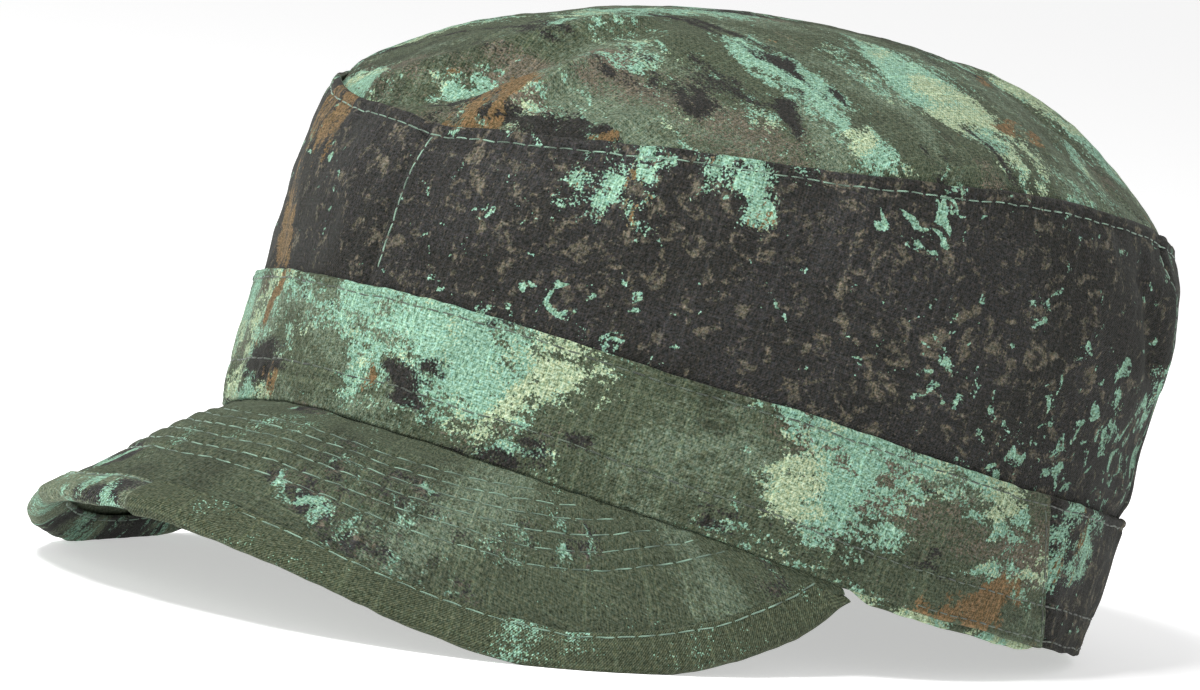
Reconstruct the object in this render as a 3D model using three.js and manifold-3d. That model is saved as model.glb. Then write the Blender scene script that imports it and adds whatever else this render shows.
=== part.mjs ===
// Patrol cap, in millimetres.
// The cap is shaped upright: X points to the wearer's left, -Y to the front and +Z up the crown, with the
// head opening near z = 0. Then it is tipped until it stands on its back hem and on the two lowest places
// of its peak, with the floor at z = 0.

import * as THREE from "three";
import { ParametricGeometry } from "three/addons/geometries/ParametricGeometry.js";
import { mergeVertices } from "three/addons/utils/BufferGeometryUtils.js";
import Module from "manifold-3d";

// Driving dimensions: cloth
const CLOTH = 1.2; // crown, side panels, band and sweatband
const PEAK_CLOTH = 1.0; // each face of the peak
const BINDING_CLOTH = 1.0; // tape folded round the peak's edge
const GAP = 0.3; // clearance between pieces that are sewn together

// Driving dimensions: ovals around the head, measured over the outer face of the cloth
const RIM_LENGTH = 211; // lower edge of the band
const RIM_WIDTH = 166.5;
const BAND_TOP_LENGTH = 208; // upper edge of the band
const BAND_TOP_WIDTH = 174.5;
const SEAM_LENGTH = 196; // crown seam, between the side panels and the top panel
const SEAM_WIDTH = 168;
const SEAM_SET_BACK = 2.3; // the crown seam's centre lies this far behind the rim's
const BAND_TAPER = 0.1; // share by which the band is narrower in front and wider behind
const SEAM_TAPER = 0.06; // the same for the crown seam

// Driving dimensions: roundness, as powers of the way up or out, or as shares
const BELLY_HEIGHT = 1.6; // a higher power puts the belly of the side panels higher
const DOME_FULLNESS = 2.9; // a higher power makes a flatter crown with rounder shoulders
const DOME_LEAN = 0.15; // share by which the crown is fuller behind and flatter in front
const PEAK_BELLY = 0.4; // share by which the peak's roundness leans toward the band
const SHOULDER_HOLD = 6; // a higher power lets the crown follow its seam's dips only close to the seam
const CORNER_HOLD = 8; // a higher power lets the peak's edge follow the rim only close to its corners
const FOLDS_FADE = 0.9; // from this share of the way to the seam outward, the crown's folds fade away
const BINDING_SHARE = 0.6; // near the corners the binding covers at most this share of the peak

// Driving dimensions: heights above the rim plane
const BAND_HEIGHT = 30;
const SEAM_HEIGHT = 84; // crown seam, near the back
const DOME_HEIGHT = 30; // top of the crown above the seam
const BAND_LAP = 5; // the side panels run down this far behind the band
const CROWN_LAP = 3; // the top panel's edge runs down this far inside the side panels
const WALL_BULGE = 6; // how far the side panels belly out where they do most
const SWEATBAND_SHOWS = 1.8; // at the sides the sweatband's edge hangs this far below the band
const PRESSED = 0.4; // cloth pressed flat where the cap rests

// Driving dimensions: peak
const PEAK_OVERHANG = 48; // from the band's front to the peak's front edge, seen from above
const PEAK_WIDTH = 160; // across the curved peak
const PEAK_DROP = 33.5; // from the rim plane down to the peak's lowest places
const PEAK_BULGE = 3.5; // how far the peak rounds up between the band and its edge
const PEAK_CORNER = 77; // degrees round from the front to the corner where the peak's edge meets the band
const BINDING_WIDTH = 7.5;

// Driving dimensions: seams, in degrees round from the front
const BACK_PANEL_SEAM = 132;
const BAND_SEAM = 108;
const HEM_LEVEL = 1; // the sweatband starts to drop below the band this far behind the peak's corner,
const HEM_DROPPED = 9; // hangs at its full depth this far behind it, and rises again past the band seam

// Heights of the edges from the front (0 degrees) to the back (180), alike on both sides. The rim and the
// band are shares of BAND_HEIGHT, the band measured above the rim, and the seam is a share of SEAM_HEIGHT.
const EDGE_HEIGHTS = [
  { angle: 0, rim: 0.09, band: 0.91, seam: 0.79 },
  { angle: 45, rim: -0.03, band: 0.96, seam: 0.87 },
  { angle: 90, rim: -0.2, band: 1.03, seam: 0.995 },
  { angle: 135, rim: -0.17, band: 1.01, seam: 1.02 },
  { angle: 180, rim: -0.09, band: 0.97, seam: 1.005 },
];

// How far the side panels belly out, going round by the wearer's left, as shares of WALL_BULGE
const WALL_BULGES = [
  { angle: 0, out: 0.3 },
  { angle: 45, out: 0.3 },
  { angle: 90, out: 0.5 },
  { angle: 135, out: 1 },
  { angle: 180, out: 0.8 },
  { angle: 225, out: 0.8 },
  { angle: 270, out: 0.5 },
  { angle: 315, out: 0.4 },
];

// The peak's edge from the middle (0 degrees) to a corner (90): across is a share of half PEAK_WIDTH,
// forward a share of the way from the corners to the front edge, and drop a share of PEAK_DROP.
const PEAK_EDGE = [
  { turn: 0, across: 0, forward: 1, drop: 0.7 },
  { turn: 15, across: 0.38, forward: 0.94, drop: 0.79 },
  { turn: 30, across: 0.67, forward: 0.775, drop: 0.96 },
  { turn: 45, across: 0.875, forward: 0.54, drop: 1 },
  { turn: 60, across: 0.975, forward: 0.29, drop: 0.76 },
  { turn: 75, across: 0.995, forward: 0.09, drop: 0.34 },
  { turn: 90, across: 1, forward: 0, drop: 0 },
];

// Soft folds in the top panel: each ridge or hollow runs straight from one place to another. A place is an
// angle round from the front and a share of the way from the centre to the seam; width and height are
// shares of DOME_HEIGHT.
const CROWN_FOLDS = [
  { fromAngle: -24, fromOut: 0.95, toAngle: 2, toOut: 0.6, width: 0.3, height: 0.07 },
  { fromAngle: -6, fromOut: 0.95, toAngle: 14, toOut: 0.62, width: 0.22, height: -0.08 },
  { fromAngle: 5, fromOut: 0.96, toAngle: 22, toOut: 0.62, width: 0.28, height: 0.08 },
  { fromAngle: 62, fromOut: 0.93, toAngle: 88, toOut: 0.93, width: 0.3, height: 0.07 },
  { fromAngle: 135, fromOut: 0.5, toAngle: 116, toOut: 0.94, width: 0.22, height: -0.08 },
  { fromAngle: 158, fromOut: 0.55, toAngle: 132, toOut: 0.92, width: 0.3, height: 0.06 },
];

// Fineness of the faceted shapes
const STEPS_AROUND = 60;
const PEAK_STEPS = 38;
const WALL_ROWS = [1, 0.88, 0.7, 0.5, 0.3, 0.12, 0];
const CROWN_ROWS = [0.2, 0.38, 0.54, 0.68, 0.8, 0.9, 1];
const BAND_ROWS = [1, 0.5, 0];
const PEAK_ROWS = [0, 0.25, 0.5, 0.75, 1];
const BINDING_FOLD = [60, 25]; // degrees round the binding's folded edge
const HALVINGS = 40; // of the range in which the resting tilt is sought

const FULL_TURN = 2 * Math.PI;
const PEAK_THICKNESS = 2 * PEAK_CLOTH + GAP;
const EDGE_WALL = GAP + BINDING_CLOTH; // from the binding's outer face to the peak's cloth
const TIP = 1e-3; // a step small enough to measure a surface's slope

const wasm = await Module();
wasm.setup();

const { degToRad, lerp, smoothstep } = THREE.MathUtils;
const PEAK_END = degToRad(84); // the peak's cloth stops just short of its corners

// Tables read as smooth closed or open curves

const mirrored = (rows) => [...rows, ...rows.slice(1, -1).reverse()];

const heightCurve = new THREE.CatmullRomCurve3(
  mirrored(EDGE_HEIGHTS).map((row) => new THREE.Vector3(row.rim, row.band, row.seam)),
  true,
  "catmullrom",
);

const bulgeCurve = new THREE.CatmullRomCurve3(
  WALL_BULGES.map((row) => new THREE.Vector3(row.out, 0, 0)),
  true,
  "catmullrom",
);

const edgeCurve = new THREE.CatmullRomCurve3(
  [
    ...PEAK_EDGE.slice(1).reverse().map((row) => new THREE.Vector3(-row.across, row.forward, row.drop)),
    ...PEAK_EDGE.map((row) => new THREE.Vector3(row.across, row.forward, row.drop)),
  ],
  false,
  "catmullrom",
);

const heightsAt = (angle) => heightCurve.getPoint(THREE.MathUtils.euclideanModulo(angle / FULL_TURN, 1));
const bulgeAt = (angle) => bulgeCurve.getPoint(THREE.MathUtils.euclideanModulo(angle / FULL_TURN, 1)).x;

// Surfaces of the cap: each returns a point of the outer face

function oval(angle, length, width, taper, z) {
  const narrowing = 1 - taper * Math.cos(angle);
  return new THREE.Vector3((width / 2) * Math.sin(angle) * narrowing, (-length / 2) * Math.cos(angle), z);
}

function bandFace(angle, up) {
  const heights = heightsAt(angle);
  const rim = oval(angle, RIM_LENGTH, RIM_WIDTH, BAND_TAPER, heights.x * BAND_HEIGHT);
  const top = oval(angle, BAND_TOP_LENGTH, BAND_TOP_WIDTH, BAND_TAPER, rim.z + heights.y * BAND_HEIGHT);
  return rim.lerp(top, up);
}

function seamEdge(angle) {
  const edge = oval(angle, SEAM_LENGTH, SEAM_WIDTH, SEAM_TAPER, heightsAt(angle).z * SEAM_HEIGHT);
  return edge.setY(edge.y + SEAM_SET_BACK);
}

// Side panels: up runs from 0 at the band's upper edge to 1 at the crown seam, and below 0 behind the band.
function wallFace(angle, up) {
  const foot = inset(bandFace, angle, 1 + Math.min(up, 0), CLOTH + GAP);
  if (up <= 0) return foot;
  const out = new THREE.Vector3(Math.sin(angle), -Math.cos(angle), 0);
  const belly = WALL_BULGE * bulgeAt(angle) * Math.sin(Math.PI * up ** BELLY_HEIGHT);
  return foot.lerp(seamEdge(angle), up).addScaledVector(out, belly);
}

function crownPlace(degrees, out) {
  const edge = seamEdge(degToRad(degrees));
  return new THREE.Vector3(edge.x * out, lerp(SEAM_SET_BACK, edge.y, out), 0);
}

const foldLines = CROWN_FOLDS.map((fold) => ({
  line: new THREE.Line3(
    crownPlace(fold.fromAngle, fold.fromOut),
    crownPlace(fold.toAngle, fold.toOut),
  ),
  width: fold.width * DOME_HEIGHT,
  height: fold.height * DOME_HEIGHT,
}));

function foldHeight(x, y) {
  const here = new THREE.Vector3(x, y, 0);
  const heights = foldLines.map((fold) => {
    const away = fold.line.closestPointToPoint(here, true, new THREE.Vector3()).distanceTo(here);
    return fold.height * Math.exp(-((away / fold.width) ** 2));
  });
  return heights.reduce((sum, height) => sum + height, 0);
}

const seamFront = seamEdge(0);
const seamBack = seamEdge(Math.PI);
const seamRise = (seamEdge(Math.PI / 2).z - (seamFront.z + seamBack.z) / 2) / 2;

// Top panel: out runs from 0 at the centre of the crown to 1 at the seam. The crown leans with its seam.
function crownFace(angle, out) {
  const edge = inset(wallFace, angle, 1, CLOTH + GAP);
  const x = edge.x * out;
  const y = lerp(SEAM_SET_BACK, edge.y, out);
  const along = THREE.MathUtils.inverseLerp(seamFront.y, seamBack.y, y);
  const leaning = lerp(seamFront.z, seamBack.z, along) + seamRise;
  const dome = DOME_HEIGHT * (1 - out ** DOME_FULLNESS) * (1 + DOME_LEAN * (2 * along - 1));
  const folds = foldHeight(x, y) * (1 - smoothstep(out, FOLDS_FADE, 1));
  return new THREE.Vector3(x, y, lerp(leaning, edge.z, out ** SHOULDER_HOLD) + dome + folds);
}

// Peak: turn runs from -90 degrees at the right corner to 90 at the left, out from 0 under the band to 1 at
// the outer edge.
function peakFace(turn, out) {
  const corner = bandFace(degToRad(PEAK_CORNER), 0);
  const root = inset(bandFace, (turn / (Math.PI / 2)) * degToRad(PEAK_CORNER), 0, CLOTH);
  root.z -= GAP;
  const shares = edgeCurve.getPoint(THREE.MathUtils.clamp(turn / Math.PI + 0.5, 0, 1));
  const atCorner = Math.sin(turn) ** CORNER_HOLD;
  const reach = RIM_LENGTH / 2 + PEAK_OVERHANG + corner.y;
  const edge = new THREE.Vector3(
    (shares.x * PEAK_WIDTH) / 2 + Math.sign(turn) * (corner.x - PEAK_WIDTH / 2) * atCorner,
    corner.y - shares.y * reach,
    corner.z * atCorner - shares.z * PEAK_DROP,
  );
  const across = Math.PI * out;
  const bulge = PEAK_BULGE * Math.sin(across) * (1 + PEAK_BELLY * Math.cos(across)) * Math.cos(turn);
  return root.lerp(edge, out).add(new THREE.Vector3(0, 0, bulge));
}

// Point of a wall's surface moved into the cloth, square to the surface, by a depth
function inset(face, across, along, depth) {
  const sideways = face(across + TIP, along).sub(face(across - TIP, along));
  const lengthways = face(across, along + TIP).sub(face(across, along - TIP));
  const normal = sideways.cross(lengthways).normalize();
  return face(across, along).addScaledVector(normal, -depth);
}

// The same for the crown and the peak, which run outward where a wall runs up
function under(face, across, out, depth) {
  return inset(face, across, out, -depth);
}

// Closed bodies

// Angles from start to end, with those between on one common spacing, so that neighbours share their facets
function stations(start, end, spacing) {
  const between = [];
  for (let i = Math.ceil(start / spacing + 0.25); i * spacing < end - spacing / 4; i++) {
    between.push(i * spacing);
  }
  return [start, ...between, end];
}

// A grid of points becomes a closed mesh. Columns follow one another along the piece, and each holds the
// points of one section; a closed section joins its last point to its first.
function gridMesh(columns, closedSection) {
  const rows = columns[0].length;
  const lastRow = closedSection ? rows : rows - 1;
  const pick = (u, v, target) => {
    const column = columns[Math.round(v * (columns.length - 1))];
    target.copy(column[Math.round(u * lastRow) % rows]);
  };
  const geometry = new ParametricGeometry(pick, lastRow, columns.length - 1);
  geometry.deleteAttribute("normal");
  geometry.deleteAttribute("uv");
  const merged = mergeVertices(geometry, TIP);
  const index = merged.index.array;
  const kept = [];
  for (let i = 0; i < index.length; i += 3) {
    const [a, b, c] = index.slice(i, i + 3);
    if (a !== b && b !== c && c !== a) kept.push(a, b, c);
  }
  return merged.setIndex(kept);
}

// Section of a sheet: along its outer face and back along its inner one
function sheetSection(pointAt, rows, depths) {
  const outer = rows.map((row) => pointAt(row, depths[0]));
  const inner = rows.map((row) => pointAt(row, depths[1]));
  return [...outer, ...inner.reverse()];
}

// Piece with two ends, each closed by folding its last section onto the line midway between its faces
function endedMesh(columns) {
  const folded = (section) => section.map((point, i) => point.clone().lerp(section.at(-1 - i), 0.5));
  return gridMesh([folded(columns[0]), ...columns, folded(columns.at(-1))], true);
}

const around = stations(0, FULL_TURN, FULL_TURN / STEPS_AROUND);

// Angles of a piece that runs from one seam to another, with half a gap at each
function betweenSeams(startDegrees, endDegrees) {
  const halfGap = GAP / RIM_WIDTH;
  return stations(degToRad(startDegrees) + halfGap, degToRad(endDegrees) - halfGap, FULL_TURN / STEPS_AROUND);
}

function sidePanel(startDegrees, endDegrees) {
  const columns = betweenSeams(startDegrees, endDegrees).map((angle) => {
    const rows = [...WALL_ROWS, -BAND_LAP / (heightsAt(angle).y * BAND_HEIGHT)];
    return sheetSection((up, depth) => inset(wallFace, angle, up, depth), rows, [0, CLOTH]);
  });
  return endedMesh(columns);
}

function bandPiece(startDegrees, endDegrees) {
  const columns = betweenSeams(startDegrees, endDegrees).map((angle) =>
    sheetSection((up, depth) => inset(bandFace, angle, up, depth), BAND_ROWS, [0, CLOTH]),
  );
  return endedMesh(columns);
}

// The sweatband stands inside the band, below the side panels' edge. At the sides it hangs below the band.
// Over the peak it stops clear of the peak's cloth, and at the back it ends inside the band.
function sweatband() {
  const columns = around.map((angle) => {
    const height = heightsAt(angle).y * BAND_HEIGHT;
    const fromFront = Math.min(angle, FULL_TURN - angle);
    const past = (place) => smoothstep(fromFront, degToRad(place + HEM_LEVEL), degToRad(place + HEM_DROPPED));
    const shows = past(PEAK_CORNER) - past(BAND_SEAM);
    const bottom = lerp(GAP, -SWEATBAND_SHOWS, shows) / height;
    const top = 1 - (BAND_LAP + 2 * GAP) / height;
    const rows = [top, (bottom + top) / 2, bottom];
    const depths = [CLOTH + GAP, 2 * CLOTH + GAP];
    return sheetSection((up, depth) => inset(bandFace, angle, up, depth), rows, depths);
  });
  return gridMesh(columns, true);
}

// The top panel is one sheet with its edge turned down inside the side panels.
function topPanel() {
  const columns = around.map((angle) => {
    const wallHeight = seamEdge(angle).z - bandFace(angle, 1).z;
    const lap = 1 - CROWN_LAP / wallHeight;
    const centre = crownFace(angle, 0);
    const faces = (depth) => CROWN_ROWS.map((out) => under(crownFace, angle, out, depth));
    const outer = [centre, ...faces(0)];
    const inner = [centre.clone().setZ(centre.z - CLOTH), ...faces(CLOTH)];
    const edge = inner.pop();
    const bend = inset(wallFace, angle, 1, 2 * CLOTH + GAP).setZ(edge.z);
    const turnedDown = [CLOTH + GAP, 2 * CLOTH + GAP].map((depth) => inset(wallFace, angle, lap, depth));
    return [...outer, ...turnedDown, bend, ...inner.reverse()];
  });
  return gridMesh(columns, false);
}

const peakTurns = stations(-PEAK_END, PEAK_END, (2 * PEAK_END) / PEAK_STEPS);
const peakReach = (turn) => peakFace(turn, 0).distanceTo(peakFace(turn, 1));

function peakLayer(topDepth) {
  const columns = peakTurns.map((turn) => {
    const rows = PEAK_ROWS.map((row) => row * (1 - EDGE_WALL / peakReach(turn)));
    const depths = [topDepth, topDepth + PEAK_CLOTH];
    return sheetSection((out, depth) => under(peakFace, turn, out, depth), rows, depths);
  });
  return endedMesh(columns);
}

// The binding is one tape folded round the peak's edge. Its section is a U, given here as distances in from
// the outer edge and away from the middle of the peak; every outer place has an inner one facing it.
function peakBinding() {
  const middle = PEAK_THICKNESS / 2;
  const outer = middle + EDGE_WALL;
  const inner = middle + GAP;
  const columns = peakTurns.map((turn) => {
    const reach = peakReach(turn);
    const width = Math.min(BINDING_WIDTH, reach * BINDING_SHARE);
    const half = [
      { in: width, away: outer, facing: { in: width, away: inner } },
      { in: EDGE_WALL, away: outer, facing: { in: BINDING_CLOTH, away: inner } },
      ...BINDING_FOLD.map((degrees) => ({
        in: EDGE_WALL * (1 - Math.cos(degToRad(degrees))),
        away: outer * Math.sin(degToRad(degrees)),
        facing: { in: BINDING_CLOTH, away: inner },
      })),
    ];
    const at = (place, side) => under(peakFace, turn, 1 - place.in / reach, middle + side * place.away);
    const above = half.map((place) => at(place, -1));
    const below = half.map((place) => at(place, 1)).reverse();
    const insideBelow = half.map((place) => at(place.facing, 1));
    const insideAbove = half.map((place) => at(place.facing, -1)).reverse();
    return [...above, ...below, ...insideBelow, ...insideAbove];
  });
  return endedMesh(columns);
}

// Resting pose: the cap is tipped front up until its peak and its back hem touch one floor.

const shapes = {
  topPanel: topPanel(),
  leftPanel: sidePanel(0, BACK_PANEL_SEAM),
  rightPanel: sidePanel(-BACK_PANEL_SEAM, 0),
  backPanel: sidePanel(BACK_PANEL_SEAM, 360 - BACK_PANEL_SEAM),
  bandFront: bandPiece(-BAND_SEAM, BAND_SEAM),
  bandBack: bandPiece(BAND_SEAM, 360 - BAND_SEAM),
  sweatband: sweatband(),
  peakTop: peakLayer(0),
  peakUnderside: peakLayer(PEAK_CLOTH + GAP),
  peakBinding: peakBinding(),
};

function lowest(geometry, tilt) {
  const tipped = geometry.clone().rotateX(-tilt);
  tipped.computeBoundingBox();
  return tipped.boundingBox.min.z;
}

function restingTilt() {
  let [low, high] = [0, Math.PI / 4];
  for (let i = 0; i < HALVINGS; i++) {
    const tilt = (low + high) / 2;
    if (lowest(shapes.peakBinding, tilt) < lowest(shapes.bandBack, tilt)) low = tilt;
    else high = tilt;
  }
  return low;
}

const tilt = restingTilt();
const cap = new THREE.Group();
cap.name = "patrol_cap";
cap.rotation.x = -tilt;

function addPiece(name, geometry, colour, roughness) {
  const material = new THREE.MeshStandardMaterial({ color: colour, roughness, metalness: 0 });
  const mesh = new THREE.Mesh(geometry, material);
  mesh.name = name;
  cap.add(mesh);
}

addPiece("top_panel", shapes.topPanel, 0x56624f, 0.92);
addPiece("side_panel_left", shapes.leftPanel, 0x3b3935, 0.92);
addPiece("side_panel_right", shapes.rightPanel, 0x3b3935, 0.92);
addPiece("back_panel", shapes.backPanel, 0x4a4f42, 0.92);
addPiece("band_front", shapes.bandFront, 0x58664f, 0.92);
addPiece("band_back", shapes.bandBack, 0x4e5a48, 0.92);
addPiece("sweatband", shapes.sweatband, 0xa9b892, 0.9);
addPiece("peak_top", shapes.peakTop, 0x4e5c48, 0.92);
addPiece("peak_underside", shapes.peakUnderside, 0x4b5845, 0.92);
addPiece("peak_binding", shapes.peakBinding, 0x4a5643, 0.9);

cap.updateMatrixWorld();
const upright = new THREE.Box3().setFromObject(cap, true);
const middle = upright.getCenter(new THREE.Vector3());
cap.position.set(-middle.x, -middle.y, -upright.min.z - PRESSED);
cap.updateMatrixWorld();

// Where the cap rests, its cloth is pressed flat: what would reach below the floor is cut away.

function solidOf(geometry) {
  const merged = mergeVertices(geometry, TIP);
  return new wasm.Manifold(
    new wasm.Mesh({
      numProp: 3,
      vertProperties: merged.getAttribute("position").array,
      triVerts: new Uint32Array(merged.index.array),
    }),
  );
}

function geometryOf(solid) {
  const made = solid.getMesh();
  return new THREE.BufferGeometry()
    .setAttribute("position", new THREE.BufferAttribute(made.vertProperties, 3))
    .setIndex(new THREE.BufferAttribute(made.triVerts, 1));
}

const size = upright.getSize(new THREE.Vector3());
const belowFloor = new THREE.BoxGeometry(2 * size.x, 2 * size.y, size.z);
belowFloor.deleteAttribute("normal");
belowFloor.deleteAttribute("uv");
belowFloor.translate(0, 0, -size.z / 2).applyMatrix4(cap.matrixWorld.clone().invert());
const belowFloorSolid = solidOf(belowFloor);
for (const name of ["band_back", "peak_binding"]) {
  const piece = cap.getObjectByName(name);
  piece.geometry = geometryOf(solidOf(piece.geometry).subtract(belowFloorSolid));
}

export default cap;
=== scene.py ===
import math

import bmesh
import bpy
import numpy as np
from mathutils import Matrix, Vector


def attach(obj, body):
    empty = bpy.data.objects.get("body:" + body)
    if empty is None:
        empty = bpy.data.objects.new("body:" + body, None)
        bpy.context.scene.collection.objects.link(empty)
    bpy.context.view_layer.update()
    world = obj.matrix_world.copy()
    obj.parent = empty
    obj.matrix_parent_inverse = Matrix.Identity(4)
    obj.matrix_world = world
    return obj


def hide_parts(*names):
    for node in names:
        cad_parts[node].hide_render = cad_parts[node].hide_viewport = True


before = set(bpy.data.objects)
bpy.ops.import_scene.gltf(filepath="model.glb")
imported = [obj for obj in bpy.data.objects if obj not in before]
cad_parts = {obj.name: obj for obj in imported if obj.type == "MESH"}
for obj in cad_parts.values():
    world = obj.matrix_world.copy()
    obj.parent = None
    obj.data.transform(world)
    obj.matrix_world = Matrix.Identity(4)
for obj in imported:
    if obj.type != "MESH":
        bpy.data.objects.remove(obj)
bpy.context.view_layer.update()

# A cloth patrol cap. It is shaped upright, in millimetres: X to the wearer's left, -Y to the front, +Z up the
# crown. Angles go round from the front by the wearer's left. At the end every point is tipped into the frame.

MM = 0.001
TURN = 2 * math.pi

# How the cap stands: tipped front up on its back band and on the two lowest places of its peak
TILT = math.radians(9.34814)
STANDS_AT = Vector((-0.0635, 19.9836, 19.4008))

# Cloth
CLOTH = 1.2
GAP = 0.3
PEAK_CLOTH = 1.0
PEAK_THICKNESS = 2.3
BINDING_CLOTH = 1.0
BINDING_WIDTH = 7.5

# Ovals around the head, over the outer face of the cloth
RIM_LENGTH, RIM_WIDTH = 211, 166.5
BAND_TOP_LENGTH, BAND_TOP_WIDTH = 208, 174.5
SEAM_LENGTH, SEAM_WIDTH = 196, 168
SEAM_SET_BACK = 2.3
BAND_TAPER = 0.1
SEAM_TAPER = 0.06

# Heights and roundness
BAND_HEIGHT = 30
SEAM_HEIGHT = 84
DOME_HEIGHT = 30
DOME_FULLNESS = 2.9
DOME_LEAN = 0.15
SHOULDER_HOLD = 6
FOLDS_FADE = 0.9
BAND_LAP = 5
CROWN_LAP = 3
WALL_BULGE = 6
BELLY_HEIGHT = 1.6
SWEATBAND_SHOWS = 1.8

# Peak
PEAK_OVERHANG = 48
PEAK_WIDTH = 160
PEAK_DROP = 33.5
PEAK_BULGE = 3.5
PEAK_BELLY = 0.4
PEAK_CORNER = math.radians(77)
PEAK_END = math.radians(88.8)
CORNER_HOLD = 8

# Seams between the panels, in degrees round from the front
BACK_PANEL_SEAM = 132
SEAM_BEND = 15
BAND_SEAM = 108
SEAM_LEAN = 12

# Rim, band and crown seam every 45 degrees from the front to the back. The rim and the band are shares of
# BAND_HEIGHT, and the seam is a share of SEAM_HEIGHT.
EDGE_HEIGHTS = [
    (0.09, 0.91, 0.79),
    (-0.03, 0.96, 0.87),
    (-0.2, 1.03, 0.995),
    (-0.17, 1.01, 1.02),
    (-0.09, 0.97, 1.005),
]
# Belly of the side panels every 45 degrees all the way round, as shares of WALL_BULGE
WALL_BULGES = [0.3, 0.3, 0.5, 1, 0.8, 0.8, 0.5, 0.4]
# The peak's edge every 15 degrees from its middle to a corner: across, forward and drop, as shares
PEAK_EDGE = [
    (0, 1, 0.7),
    (0.38, 0.94, 0.79),
    (0.67, 0.775, 0.96),
    (0.875, 0.54, 1),
    (0.975, 0.29, 0.76),
    (0.995, 0.09, 0.34),
    (1, 0, 0),
]
# Folds of the crown: two places, each an angle and a share of the way out, then width and height as shares
# of DOME_HEIGHT
CROWN_FOLDS = [
    ((-24, 0.95), (2, 0.6), 0.3, 0.07),
    ((-6, 0.95), (14, 0.62), 0.22, -0.08),
    ((5, 0.96), (22, 0.62), 0.28, 0.08),
    ((62, 0.93), (88, 0.93), 0.3, 0.07),
    ((135, 0.5), (116, 0.94), 0.22, -0.08),
    ((158, 0.55), (132, 0.92), 0.3, 0.06),
]

# Stitching, in millimetres
THREAD = 0.34
STITCH = 3.4
PEAK_STITCH = 4.9
SEAM_STITCH_IN = 2.6
BAND_STITCH_IN = 2.0
SWEATBAND_STITCH_UP = 8.6
HEM_STITCH_UP = 1.6
BINDING_STITCH_IN = 1.1
PEAK_ROWS = 6
FIRST_ROW_IN = 20.5
ROW_STEP = 4.2
BESIDE_SEAM = 1.6
BESIDE_BACK_SEAM = 1.8
STEPS_A_STITCH = 9
THREAD_SIDES = 6
DIP = 0.3
THREAD_LIFT = 0.07
# From where to where the stitches beside a seam run: below the crown seam, or above the band's lower edge
FRONT_SEAM_ROW = (3.01, 32.68)
BACK_SEAM_ROW = (4.83, 52.44)
BAND_SEAM_ROW = (2.5, 28)
# Where the hem's row starts behind the peak, and how far short of the peak's ends the binding's rows stop
HEM_ROW_START = math.radians(86)
TAPE_ROW_SHORT = 0.09

# Creases of the crown: width, height, then places along the crease, each an angle and a share of the way out.
# A crease fades away over its last stretch, at the inner end.
CREASE_FADE = 14
CREASE_ROUNDING = 0.3
CROWN_CREASES = [
    (3.0, 3.0, (-21.5, 1.0), (-16, 0.91), (-10, 0.84), (0, 0.69), (10, 0.57), (13, 0.45)),
    (4.0, -2.3, (-13, 1.0), (-5, 0.87), (7, 0.78), (12, 0.68)),
    (2.6, 3.2, (3, 1.0), (8, 0.95), (12, 0.89), (14.5, 0.81), (19, 0.72)),
    (3.0, -2.1, (7, 1.0), (15.5, 0.9), (20, 0.81)),
    (2.6, 2.1, (14.5, 1.0), (17.5, 0.9), (22, 0.84)),
    (3.0, -0.9, (20, 1.0), (30, 0.84)),
    (3.4, 1.8, (25, 0.97), (42, 0.79)),
    (4.0, -0.6, (38, 0.98), (47, 0.86)),
    (3.0, 1.0, (60, 0.965), (72, 0.95), (84, 0.955)),
    (5.0, -0.9, (108, 0.78), (113, 0.95)),
    (3.6, 1.5, (114, 0.74), (124, 0.94)),
    (4.5, -0.9, (127, 0.76), (136, 0.95)),
    (5.0, 0.8, (160, 0.8), (174, 0.95)),
    (5.0, 0.9, (205, 0.95), (216, 0.78)),
    (4.0, 0.9, (238, 0.96), (262, 0.93)),
    (4.5, -0.8, (285, 0.95), (300, 0.82)),
    (4.0, 1.0, (310, 0.96), (322, 0.84)),
]
# Soft folds of the side panels: two places, each an angle and a height above the band, then width and height
WALL_FOLDS = [
    ((-58, 8), (-47, 40), 6.0, 0.8),
    ((-40, 34), (-30, 4), 6.0, -0.7),
    ((-12, 30), (-7, 2), 4.5, 0.5),
    ((3, 33), (9, 6), 4.0, -0.4),
    ((34, 30), (41, 6), 7.0, 0.5),
    ((66, 44), (60, 12), 7.0, -0.5),
    ((101, 50), (97, 26), 6.0, 1.0),
    ((111, 49), (119, 34), 4.0, -2.2),
    ((121, 48), (126, 30), 4.5, 1.2),
    ((127, 6), (150, 3), 7.0, 1.3),
    ((140, 50), (147, 14), 7.0, 0.8),
    ((168, 46), (160, 10), 8.0, -0.7),
    ((196, 48), (203, 16), 8.0, 0.8),
    ((228, 50), (240, 22), 6.0, -0.7),
    ((262, 44), (256, 12), 7.0, 0.7),
    ((288, 40), (296, 8), 6.0, -0.6),
]
# The same for the band, with heights above its lower edge
BAND_FOLDS = [
    ((17.5, 28), (16.5, 19), 3.0, 0.5),
    ((16.5, 19), (13, 6), 3.0, 0.9),
    ((14, 4.5), (5, 0.8), 1.6, 0.8),
    ((21, 22), (19, 6), 3.5, -0.2),
    ((-30, 20), (-24, 4), 4.0, 0.4),
    ((47, 14), (52, 3), 3.0, 0.4),
    ((84, 20), (90, 5), 5.0, 0.4),
    ((126, 24), (122, 6), 5.0, 0.4),
    ((136, 17), (147, 12), 7.0, 0.9),
    ((196, 22), (204, 5), 6.0, 0.5),
    ((262, 20), (270, 4), 5.0, 0.4),
    ((318, 16), (326, 4), 4.0, 0.5),
]
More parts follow.
